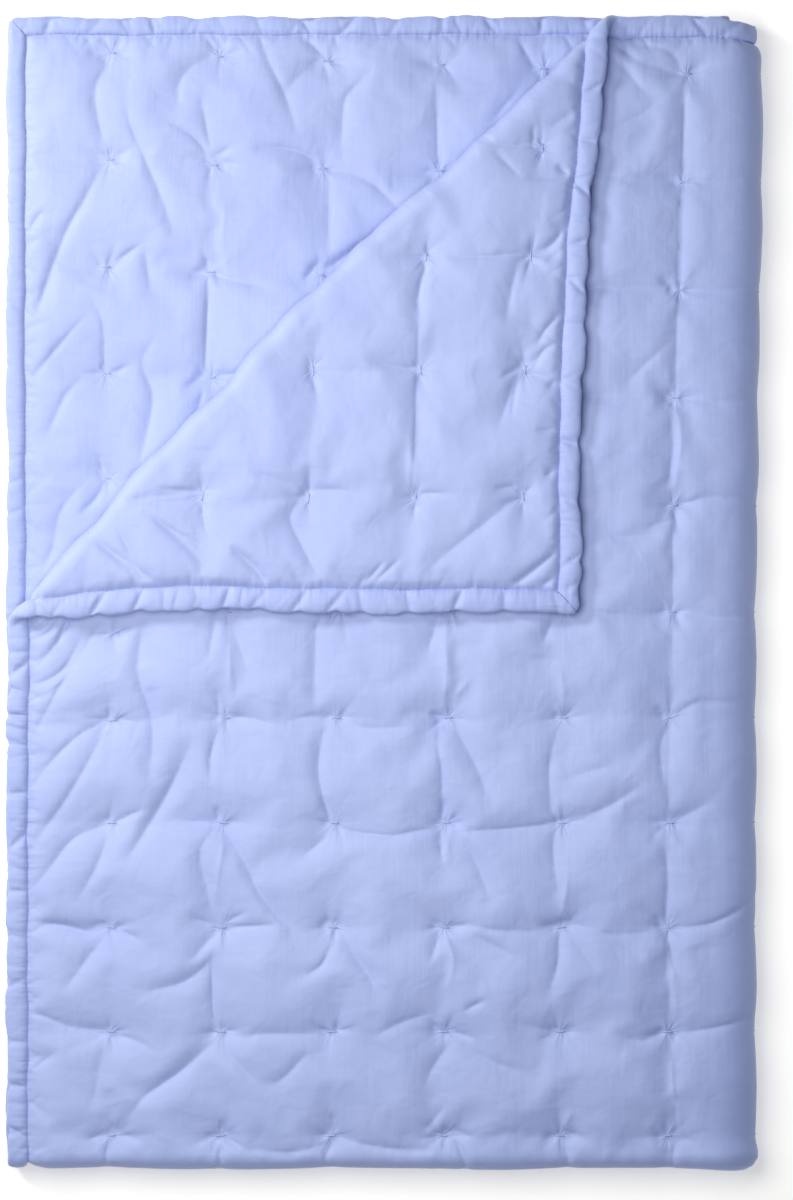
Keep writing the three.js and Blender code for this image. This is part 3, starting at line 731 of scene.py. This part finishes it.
def relief(u, v, side):
    """The height of a face over the cloth's middle. side is 1 for the face and -1 for the back."""
    height = puffed(u, v) + puckered(u, v) + seam_gathered(u, v)
    if side > 0:
        height += squeezed_out(u, v) + swollen_folds(u, v)
    past = past_crease(u, v)
    here_on = {
        "top": (v > 0) & ~((u < 0) & (past > CREASE_LENGTH / 2)) & (u < 60),
        "flap": (u < 0) & (v > 0) & (past > -8),
        "under": (u < 0) & (v < 0),
    }
    fade = np.clip(np.min(edge_insets(u, v), axis=0) / 8.0, 0, 1)
    for layer, here in here_on.items():
        if side != SHOWN[layer][0] or not here.any():
            continue
        height[here] += creased(u[here], v[here], layer) * fade[here]
        if SETTLED:
            share = SETTLE_SHARE * (1 - 0.75 * smoothstep(u[here], -75, -35))
            height[here] += share * looked_up(layer, u[here], v[here]) * fade[here]
    thinnest = np.where((side < 0) & (v < 0), 0.8, 0.3)
    return thinnest + 0.5 * np.logaddexp(0, (height - thinnest) / 0.5)


SETTLED = {layer: settled(layer) for layer in SHOWN}

# Each face of the cloth is divided finely where it shows, finer still where it bends most, and
# coarsely where it is hidden between layers.
COARSE = 25.0
FINE = COARSE / 8
SQUASHED = 1.5 * FINE
MOST_BENT = {1: 6200, -1: 7000}


def most_bent(faces, side):
    """The faces whose middle stands farthest from the level of their corners."""
    corners = np.array([[vert.co.xy for vert in face.verts] for face in faces])
    heights = relief(corners[:, :, 0].ravel(), corners[:, :, 1].ravel(), side).reshape(-1, 4)
    centres = corners.mean(axis=1)
    bend = np.abs(relief(centres[:, 0], centres[:, 1], side) - heights.mean(axis=1))
    return [faces[i] for i in np.argsort(-bend, kind="stable")[:MOST_BENT[side]]]


def divided_cloth(name, side):
    """A face of the cloth, flat, as a grid that is finer wherever it shows."""
    width = 2 * (HALF_WIDTH - CLOTH_INSET)
    length = 2 * (HALF_LENGTH - CLOTH_INSET)
    bm = bmesh.new()
    bmesh.ops.create_grid(
        bm, x_segments=round(width / COARSE), y_segments=round(length / COARSE), size=0.5
    )
    for vert in bm.verts:
        vert.co.x *= width
        vert.co.y *= length

    def turns(u, v, margin):
        return abs(u) < 50 + margin or abs(v) < 16 + margin

    def shows(u, v, margin):
        if side < 0:
            return u < margin - 20 and past_crease(u, abs(v)) > -30 - margin
        on_top = u < 50 + margin and v > -16 - margin and past_crease(u, v) < 30 + margin
        return abs(v) < 16 or (on_top and not under_the_flap(u, v, 50 + margin))

    def outside(u, v):
        return side > 0 and u > 0 and v > 0

    divisions = (
        (1, COARSE, lambda u, v: outside(u, v) or turns(u, v, 30) or shows(u, v, 30)),
        (3, COARSE / 2, lambda u, v: shows(u, v, 0)),
        (1, FINE, None),
    )
    for cuts, size, wanted in divisions:
        chosen = [face for face in bm.faces if len(face.verts) == 4 and face.calc_area() < 1.2 * size**2]
        if wanted:
            chosen = [face for face in chosen if wanted(*face.calc_center_median().xy)]
        else:
            chosen = most_bent(chosen, side)
        edges = {edge for face in chosen for edge in face.edges}
        bmesh.ops.subdivide_edges(bm, edges=list(edges), cuts=cuts, use_grid_fill=True)
    bmesh.ops.triangulate(bm, faces=[face for face in bm.faces if len(face.verts) > 4])
    return meshed(bm, name)


def finished(mesh, name, points, u, v, material):
    """Places a mesh's points in metres, and keeps the flat cloth as its UV map, in metres."""
    mesh.vertices.foreach_set("co", (points * MM).astype(np.float32).ravel())
    uv = mesh.uv_layers.new(name="flat")
    corners = np.empty(len(mesh.loops), np.int32)
    mesh.loops.foreach_get("vertex_index", corners)
    flat = np.stack([u[corners], v[corners]], axis=-1) * MM
    uv.data.foreach_set("uv", flat.astype(np.float32).ravel())
    nearest = np.full((len(u), 3), 1e3)
    for tuft_u, tuft_v in TUFTS:
        here = np.flatnonzero((np.abs(u - tuft_u) < 60) & (np.abs(v - tuft_v) < 60))
        here = here[np.hypot(u[here] - tuft_u, v[here] - tuft_v) < np.hypot(*nearest[here, :2].T)]
        nearest[here, 0] = u[here] - tuft_u
        nearest[here, 1] = v[here] - tuft_v
    nearest[:, 2] = (1 - smoothstep(np.hypot(nearest[:, 0], nearest[:, 1]), 25, 36)) / MM
    insets = edge_insets(u, v)
    from_seams = [np.minimum(insets[0], insets[1]), np.minimum(insets[2], insets[3]), 0 * u]
    for kept_as, vectors in (("from_tack", nearest), ("from_seams", np.stack(from_seams, axis=-1))):
        kept = mesh.attributes.new(name=kept_as, type="FLOAT_VECTOR", domain="POINT")
        kept.data.foreach_set("vector", (vectors * MM).astype(np.float32).ravel())
    mesh.polygons.foreach_set("use_smooth", [True] * len(mesh.polygons))
    mesh.materials.append(material)
    mesh.update()
    obj = bpy.data.objects.new(name, mesh)
    bpy.context.scene.collection.objects.link(obj)
    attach(obj, "root")
    return obj


def cloth_face(name, side, material):
    mesh = divided_cloth(name, side)
    flat = coordinates(mesh)
    u = flat[:, 0]
    v = flat[:, 1]
    for inset, axis, way in zip(edge_insets(u, v), (0, 0, 1, 1), (1, -1, -1, 1)):
        near_seam = np.abs(inset) < SQUASHED
        closer = inset * (np.abs(inset) / SQUASHED) - inset
        flat[:, axis] += way * np.where(near_seam, closer, 0)
    u = flat[:, 0]
    v = flat[:, 1]
    points = placed(u, v, side * relief(u, v, side))
    if side < 0:
        mesh.flip_normals()
    return finished(mesh, name, points, u, v, material)


# The binding: a plump strip of the same cloth folded round the edge and mitred at the corners.
RING = 18
BINDING_STEP = 1.7
BINDING_RISE = 5.7
CORNER_RADIUS = 9.0
# Where each strip is gathered most, along its edge. Lesser gathers come between.
STRONG_GATHERS = {
    "binding_near_side": [
        568, 585, 622, 660, 716, 742, 772, 810, 844, 867, 912, 957, 1000, 505, 488, 462, 431, 395,
        347, 302, 256, 214, 171, 116, 75, 32,
    ],
    "binding_top_end": [-677, -652, -598, -545, -487, -436, -399, -360, -308, -262, -215, -170, -60, -33],
    "binding_under_end": [-663, -620, -591, -565, -523, -466, -422, -383, -340, -296, -251, -204, -162],
    "binding_far_side": [-900, -640, -310, 45, 260, 610, 870],
}


def binding_strip(name, node, half_edge, wide, lay, seed, material):
    """One strip, with lay turning a place along the edge and one in from it into u and v."""
    count = round(2 * half_edge / BINDING_STEP)
    bm = bmesh.new()
    bmesh.ops.create_grid(bm, x_segments=count, y_segments=RING, size=0.5)
    bm.verts.ensure_lookup_table()
    first = {edge for edge in bm.edges if all(vert.co.y < -0.499 for vert in edge.verts)}
    last = {edge for edge in bm.edges if all(vert.co.y > 0.499 for vert in edge.verts)}
    bmesh.ops.bridge_loops(bm, edges=list(first | last))
    ends = [edge for edge in bm.edges if edge.is_boundary]
    bmesh.ops.holes_fill(bm, edges=ends, sides=0)
    mesh = meshed(bm, name)
    flat = coordinates(mesh)
    station = (flat[:, 0] + 0.5) * count
    at = (station / count * 2 - 1) * half_edge
    seam_angle = math.asin(SEAM_HEIGHT / BINDING_RISE)
    angle = seam_angle + (flat[:, 1] + 0.5) * (2 * math.pi - 2 * seam_angle)
    width = wide(at)
    radius = width / (1 + math.cos(seam_angle))

    strip_rng = np.random.default_rng(seed)
    swell = np.zeros_like(at)
    for wave in (37.0, 83.0, 190.0):
        swell += strip_rng.uniform(0.02, 0.05) * np.sin(2 * math.pi * at / wave + strip_rng.uniform(0, 6))
    inset = radius + radius * np.cos(angle)
    crown = np.sin(np.clip(angle, 0, math.pi)) + np.sin(np.clip(angle - math.pi, 0, math.pi))
    bend = np.where(np.cos(angle) < 0, 0.5, 0.92)
    plump = np.sign(np.sin(angle)) * np.abs(np.sin(angle)) ** bend
    calm = 1 - 0.2 * np.exp(-((lay(at, inset)[0] / 45.0) ** 2))
    height = BINDING_RISE * calm * (1 + swell) * plump
    gathers = [(place, strip_rng.uniform(4.2, 6.0)) for place in STRONG_GATHERS[node]]
    place = -half_edge
    while place < half_edge:
        place += strip_rng.uniform(8, 34)
        gathers.append((place, strip_rng.uniform(0.6, 2.4)))
    for place, depth in gathers:
        slant = strip_rng.uniform(-0.9, 0.9)
        narrow = 1.2 + 0.36 * depth * strip_rng.uniform(0.8, 1.2)
        s = (at - place - slant * (inset - width / 2)) / narrow
        sink = depth * np.exp(-np.sqrt(s * s + 0.1) * 1.2) * crown
        more_one_side = 0.75 + 0.25 * np.sin(angle * strip_rng.choice([-1, 1]))
        height -= np.sign(np.sin(angle)) * sink * more_one_side
        pull = depth * 0.4 * np.exp(-(((at - place) / (2.2 * narrow)) ** 2))
        inset = inset + pull * np.clip(1 - inset / width, 0, 1) ** 2
    near_seam = np.exp(-(((width - inset) / 4.5) ** 2))
    ripple = 0.35 * np.sin(2 * math.pi * at / 5.4 + 2.2 * np.sin(at / 23.0))
    height += np.sign(np.sin(angle)) * near_seam * ripple * crown
    wobble = 0.8 * np.sin(at / 15.0 + seed) + 0.9 * np.sin(at / 37.0 + 2 * seed) + 1.3
    inset = inset - wobble * (1 - inset / width)

    limit = half_edge - inset - 0.15
    at = np.clip(at, -limit, limit)
    u, v = lay(at, inset)
    beyond_u = np.abs(u) - (HALF_WIDTH - CORNER_RADIUS)
    beyond_v = np.abs(v) - (HALF_LENGTH - CORNER_RADIUS)
    both = (beyond_u > 0) & (beyond_v > 0)
    farther = np.maximum(beyond_u, beyond_v)
    scale = np.where(both, farther / np.maximum(np.hypot(beyond_u, beyond_v), 1e-6), 1)
    u = np.where(both, np.sign(u) * (HALF_WIDTH - CORNER_RADIUS + beyond_u * scale), u)
    v = np.where(both, np.sign(v) * (HALF_LENGTH - CORNER_RADIUS + beyond_v * scale), v)
    points = placed(u, v, height)
    piece = finished(mesh, name, points, u, v, material)
    turned_outwards(mesh)
    return piece


def added(tree, kind, values, operation=None):
    """A new node, with each input set to a value or joined to another node's output."""
    node = tree.nodes.new(kind)
    if operation:
        node.operation = operation
    for name, value in values.items():
        if isinstance(value, bpy.types.NodeSocket):
            tree.links.new(value, node.inputs[name])
        else:
            node.inputs[name].default_value = value
    return node


def maths(tree, operation, *values):
    return added(tree, "ShaderNodeMath", dict(enumerate(values)), operation).outputs[0]


def vectors(tree, operation, *values):
    return added(tree, "ShaderNodeVectorMath", dict(enumerate(values)), operation).outputs[0]


def noise(tree, place, scale, detail, distortion=0.0):
    values = {"Vector": place, "Scale": scale, "Detail": detail, "Distortion": distortion}
    return added(tree, "ShaderNodeTexNoise", values).outputs["Fac"]


def stretched(tree, place, scale):
    return added(tree, "ShaderNodeMapping", {"Vector": place, "Scale": scale}).outputs["Vector"]


def bump(tree, height, strength, distance, under=None):
    values = {"Height": height, "Strength": strength, "Distance": distance}
    if under:
        values["Normal"] = under
    return added(tree, "ShaderNodeBump", values).outputs["Normal"]


def flat_place(tree):
    """The place on the flat cloth, in metres, from the piece's own UV map."""
    node = tree.nodes.new("ShaderNodeUVMap")
    node.uv_map = "flat"
    return node.outputs["UV"]


def kept_vector(tree, name):
    node = tree.nodes.new("ShaderNodeAttribute")
    node.attribute_name = name
    return node.outputs["Vector"]


def parts_of(tree, vector):
    return added(tree, "ShaderNodeSeparateXYZ", {0: vector}).outputs


def new_group(name, number, value, outputs):
    """A node group with one number to set, and what it puts out."""
    tree = bpy.data.node_groups.new(name, "ShaderNodeTree")
    given = tree.interface.new_socket(number, in_out="INPUT", socket_type="NodeSocketFloat")
    given.default_value = value
    for output in outputs:
        tree.interface.new_socket(output, in_out="OUTPUT", socket_type="NodeSocketFloat")
    inside = tree.nodes.new("NodeGroupInput").outputs[number]
    return tree, inside, tree.nodes.new("NodeGroupOutput").inputs


def weave_group():
    """A fine plain weave read from the flat cloth, with slubs: a height and a tone."""
    tree, pitch, out = new_group("fine_cotton_weave", "Thread Pitch", 0.0006, ("Height", "Tone"))
    place = flat_place(tree)
    split = parts_of(tree, place)
    waves = []
    for axis in ("X", "Y"):
        turns = maths(tree, "MULTIPLY", maths(tree, "DIVIDE", split[axis], pitch), 2 * math.pi)
        waves.append(maths(tree, "SINE", turns))
    tree.links.new(maths(tree, "MULTIPLY", *waves), out["Height"])
    slub = noise(tree, stretched(tree, place, (0.12, 1.0, 1.0)), 260.0, 3.0)
    tree.links.new(slub, out["Tone"])
    return tree


def gathers_group():
    """The finest gathers, beside each tack and across each seam of the binding, as a height."""
    tree, seam_reach, out = new_group("fine_gathers", "Seam Reach", 0.006, ("Height",))

    def centred_noise(place, detail):
        return maths(tree, "SUBTRACT", noise(tree, place, 1.0, detail), 0.5)

    def fading(distance, over):
        share = maths(tree, "DIVIDE", maths(tree, "ABSOLUTE", distance), over)
        return maths(tree, "EXPONENT", maths(tree, "MULTIPLY", share, -1.0))

    place = flat_place(tree)
    from_tack = kept_vector(tree, "from_tack")
    away = vectors(tree, "MULTIPLY", from_tack, (1.0, 1.0, 0.0))
    distance = added(tree, "ShaderNodeVectorMath", {0: away}, "LENGTH").outputs["Value"]
    tack = vectors(tree, "SUBTRACT", place, away)
    around = vectors(tree, "MULTIPLY", vectors(tree, "NORMALIZE", away), (2.3, 2.3, 0.0))
    own = vectors(tree, "MULTIPLY", tack, (61.0, 47.0, 0.0))
    spokes = centred_noise(vectors(tree, "ADD", around, own), 1.0)
    open_middle = maths(tree, "MINIMUM", maths(tree, "MULTIPLY", distance, 250.0), 1.0)
    height = maths(tree, "MULTIPLY", spokes, open_middle)
    height = maths(tree, "MULTIPLY", height, fading(distance, 0.01))
    height = maths(tree, "MULTIPLY", height, parts_of(tree, from_tack)["Z"])
    split = parts_of(tree, kept_vector(tree, "from_seams"))
    patches = centred_noise(vectors(tree, "MULTIPLY", place, (26.0, 26.0, 1.0)), 1.0)
    firm = maths(tree, "ADD", patches, 0.5)
    firm = maths(tree, "MULTIPLY", maths(tree, "MULTIPLY", firm, firm), 4.0)
    for axis, stretch in (("X", (22.0, 125.0, 1.0)), ("Y", (125.0, 22.0, 1.0))):
        lines = centred_noise(vectors(tree, "MULTIPLY", place, stretch), 1.5)
        gathered = maths(tree, "MULTIPLY", lines, fading(split[axis], seam_reach))
        height = maths(tree, "ADD", height, maths(tree, "MULTIPLY", gathered, firm))
    tree.links.new(height, out["Height"])
    return tree


def placed_group(tree, group):
    node = tree.nodes.new("ShaderNodeGroup")
    node.node_tree = group
    return node


def cotton(name, colour, deep_colour, weave, gathers, seam_reach):
    material = bpy.data.materials.new(name)
    material.use_nodes = True
    tree = material.node_tree
    shader = tree.nodes["Principled BSDF"]
    shader.inputs["Roughness"].default_value = 0.56
    shader.inputs["Specular IOR Level"].default_value = 0.42
    shader.inputs["Sheen Weight"].default_value = 0.22
    shader.inputs["Sheen Roughness"].default_value = 0.45
    shader.inputs["Sheen Tint"].default_value = (0.8, 0.86, 1.0, 1.0)
    woven = placed_group(tree, weave)
    place = flat_place(tree)
    tone = maths(tree, "MULTIPLY_ADD", woven.outputs["Tone"], 0.35, noise(tree, place, 7.0, 4.0))
    ramp = added(tree, "ShaderNodeValToRGB", {"Fac": tone})
    for element, position, shade in zip(ramp.color_ramp.elements, (0.45, 0.95), (deep_colour, colour)):
        element.position = position
        element.color = (*shade, 1)
    tree.links.new(ramp.outputs["Color"], shader.inputs["Base Color"])
    # From the broadest to the finest: rumples, pressed lines, gathers at the sewing, the weave.
    normal = bump(tree, noise(tree, place, 42.0, 1.6, 0.6), 0.4, 0.003)
    pressed = noise(tree, stretched(tree, place, (240.0, 16.0, 1.0)), 1.0, 3.0)
    normal = bump(tree, pressed, 0.36, 0.0006, normal)
    sewn = placed_group(tree, gathers)
    sewn.inputs["Seam Reach"].default_value = seam_reach
    normal = bump(tree, sewn.outputs["Height"], 0.65, 0.003, normal)
    normal = bump(tree, woven.outputs["Height"], 0.12, 0.0001, normal)
    tree.links.new(normal, shader.inputs["Normal"])
    return material


def carried_along(name, shape, places, material):
    """Many copies of one small shape as one mesh, each laid on the cloth. shape is a bmesh about
    its middle, and a place is its u, v and way on the cloth, the side it lies on and its height."""
    part = meshed(shape, "one")
    bm = bmesh.new()
    for _ in places:
        bm.from_mesh(part)
    mesh = meshed(bm, name)
    local = coordinates(mesh)
    count = len(part.vertices)
    bpy.data.meshes.remove(part)
    at = np.repeat(np.array(places), count, axis=0)
    cos = np.cos(at[:, 2])
    sin = np.sin(at[:, 2])
    u = at[:, 0] + local[:, 0] * cos - local[:, 1] * sin
    v = at[:, 1] + local[:, 0] * sin + local[:, 1] * cos
    side = at[:, 3]
    points = placed(u, v, side * (at[:, 4] + local[:, 2]))
    piece = finished(mesh, name, points, u, v, material)
    turned_outwards(mesh)
    return piece


def little_stitch(length, thickness):
    bm = bmesh.new()
    bmesh.ops.create_icosphere(bm, subdivisions=1, radius=0.5)
    bmesh.ops.scale(bm, vec=(length, thickness, thickness), verts=bm.verts)
    return bm


def little_bar(length, width, thickness):
    """A short rounded bar of thread, lying along x."""
    bm = bmesh.new()
    bmesh.ops.create_cube(bm, size=1)
    bmesh.ops.scale(bm, vec=(length, width, thickness), verts=bm.verts)
    along = [edge for edge in bm.edges if abs((edge.verts[0].co - edge.verts[1].co).x) > length / 2]
    bmesh.ops.bevel(
        bm, geom=along, offset=thickness * 0.3, segments=1, affect="EDGES", profile=0.5, material=-1
    )
    middle_cut = [edge for edge in bm.edges if abs((edge.verts[0].co - edge.verts[1].co).x) > length / 2]
    bmesh.ops.subdivide_edges(bm, edges=middle_cut, cuts=3)
    for vert in bm.verts:
        taper = 1 - 0.45 * abs(2 * vert.co.x / length) ** 4
        vert.co.y *= taper
        vert.co.z *= taper
    return bm


weave = weave_group()
gathers = gathers_group()
cloth_cotton = cotton("quilted_cotton", (0.424, 0.493, 0.757), (0.383, 0.453, 0.725), weave, gathers, 0.006)
binding_cotton = cotton("binding_cotton", (0.41, 0.478, 0.755), (0.363, 0.433, 0.718), weave, gathers, 0.012)
thread = cotton("sewing_thread", (0.41, 0.485, 0.77), (0.37, 0.445, 0.74), weave, gathers, 0.001)

face_cloth = cloth_face("face_cloth", 1, cloth_cotton)
back_cloth = cloth_face("back_cloth", -1, cloth_cotton)
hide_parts("quilt")
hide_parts("quilt")

STRIPS = {
    "binding_near_side": (HALF_LENGTH, near_width, lambda at, inset: (inset - HALF_WIDTH, at)),
    "binding_far_side": (HALF_LENGTH, far_width, lambda at, inset: (HALF_WIDTH - inset, at)),
    "binding_top_end": (HALF_WIDTH, top_width, lambda at, inset: (at, HALF_LENGTH - inset)),
    "binding_under_end": (HALF_WIDTH, under_width, lambda at, inset: (at, inset - HALF_LENGTH)),
}
for seed, (node, (half_edge, wide, lay)) in enumerate(STRIPS.items(), start=11):
    strip = binding_strip(f"{node}_cloth", node, half_edge, wide, lay, seed, binding_cotton)
    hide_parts(node)

TACK_WIDTH = 1.2
TACK_THICKNESS = 0.7
TACK_RISE = 0.3
STITCH_PITCH = 4.2
STITCH_LENGTH = 3.3
STITCH_THICKNESS = 0.8
STITCH_INSET = 0.3
STITCH_RISE = 0.5

# The sewing: a bar tack at each tuft, on both faces, and a line of stitches along each strip.
tacks = []
for side in (1, -1):
    heights = relief(TUFTS[:, 0], TUFTS[:, 1], side)
    for (tuft_u, tuft_v), lean, height in zip(TUFTS, TUFT_LEAN, heights):
        tacks.append((tuft_u, tuft_v, lean, side, height + TACK_RISE))
tack_bar = little_bar(2 * TACK_HALF, TACK_WIDTH, TACK_THICKNESS)
carried_along("tacks", tack_bar, tacks, thread)

stitches = []
for node, (half_edge, wide, lay) in STRIPS.items():
    reach = half_edge - TOP_WIDTH
    for at in np.arange(-reach, reach, STITCH_PITCH) + STITCH_PITCH / 2:
        u, v = lay(at, wide(at) - STITCH_INSET)
        way = math.pi / 2 if node.endswith("side") else 0.0
        for side in (1, -1):
            stitches.append((u, v, way, side, SEAM_HEIGHT + STITCH_RISE))
stitch = little_stitch(STITCH_LENGTH, STITCH_THICKNESS)
carried_along("seam_stitches", stitch, stitches, thread)

# A pale floor, soft light from the upper left, and a camera straight above.
floor_bm = bmesh.new()
bmesh.ops.create_grid(floor_bm, x_segments=1, y_segments=1, size=6)
floor_mesh = meshed(floor_bm, "floor")
floor = bpy.data.objects.new("floor", floor_mesh)
bpy.context.scene.collection.objects.link(floor)
paper = bpy.data.materials.new("pale_floor")
paper.use_nodes = True
paper_shader = paper.node_tree.nodes["Principled BSDF"]
paper_shader.inputs["Base Color"].default_value = (0.97, 0.94, 0.86, 1)
paper_shader.inputs["Roughness"].default_value = 0.9
paper_shader.inputs["Emission Color"].default_value = (1, 0.97, 0.89, 1)
paper_shader.inputs["Emission Strength"].default_value = 0.44
floor_mesh.materials.append(paper)


def softbox(name, place, aim, size, power):
    light = bpy.data.lights.new(name, "AREA")
    light.shape = "SQUARE"
    light.size = size
    light.energy = power
    obj = bpy.data.objects.new(name, light)
    obj.location = place
    way = np.subtract(aim, place)
    obj.rotation_euler = (
        math.atan2(math.hypot(way[0], way[1]), -way[2]), 0, math.atan2(way[0], -way[1]) + math.pi
    )
    obj.visible_camera = False
    bpy.context.scene.collection.objects.link(obj)


softbox("near_softbox", (-0.3, 0.05, 1.25), (0, 0, 0), 0.9, 12.5)
softbox("far_softbox", (-1.35, 0.95, 0.95), (0, 0, 0), 0.45, 21)
world = bpy.data.worlds.new("studio")
world.use_nodes = True
sky = world.node_tree.nodes["Background"]
sky.inputs["Color"].default_value = (0.6, 0.7, 1.0, 1)
sky.inputs["Strength"].default_value = 0.25
bpy.context.scene.world = world
bpy.context.scene.view_settings.view_transform = "Standard"

CAMERA_HEIGHT = 6.0
CLOTH_HEIGHT = 0.05
SEEN_HIGH = 1200
LENS_TRIM = 1.002
EYE_PLACE = (0.0131, -0.0066, CAMERA_HEIGHT)
eye = bpy.data.cameras.new("eye")
eye.lens = LENS_TRIM * eye.sensor_width * (CAMERA_HEIGHT - CLOTH_HEIGHT) / (SEEN_HIGH * SEEN_STEP * MM)
eye_object = bpy.data.objects.new("eye", eye)
eye_object.location = EYE_PLACE
bpy.context.scene.collection.objects.link(eye_object)
bpy.context.scene.camera = eye_object
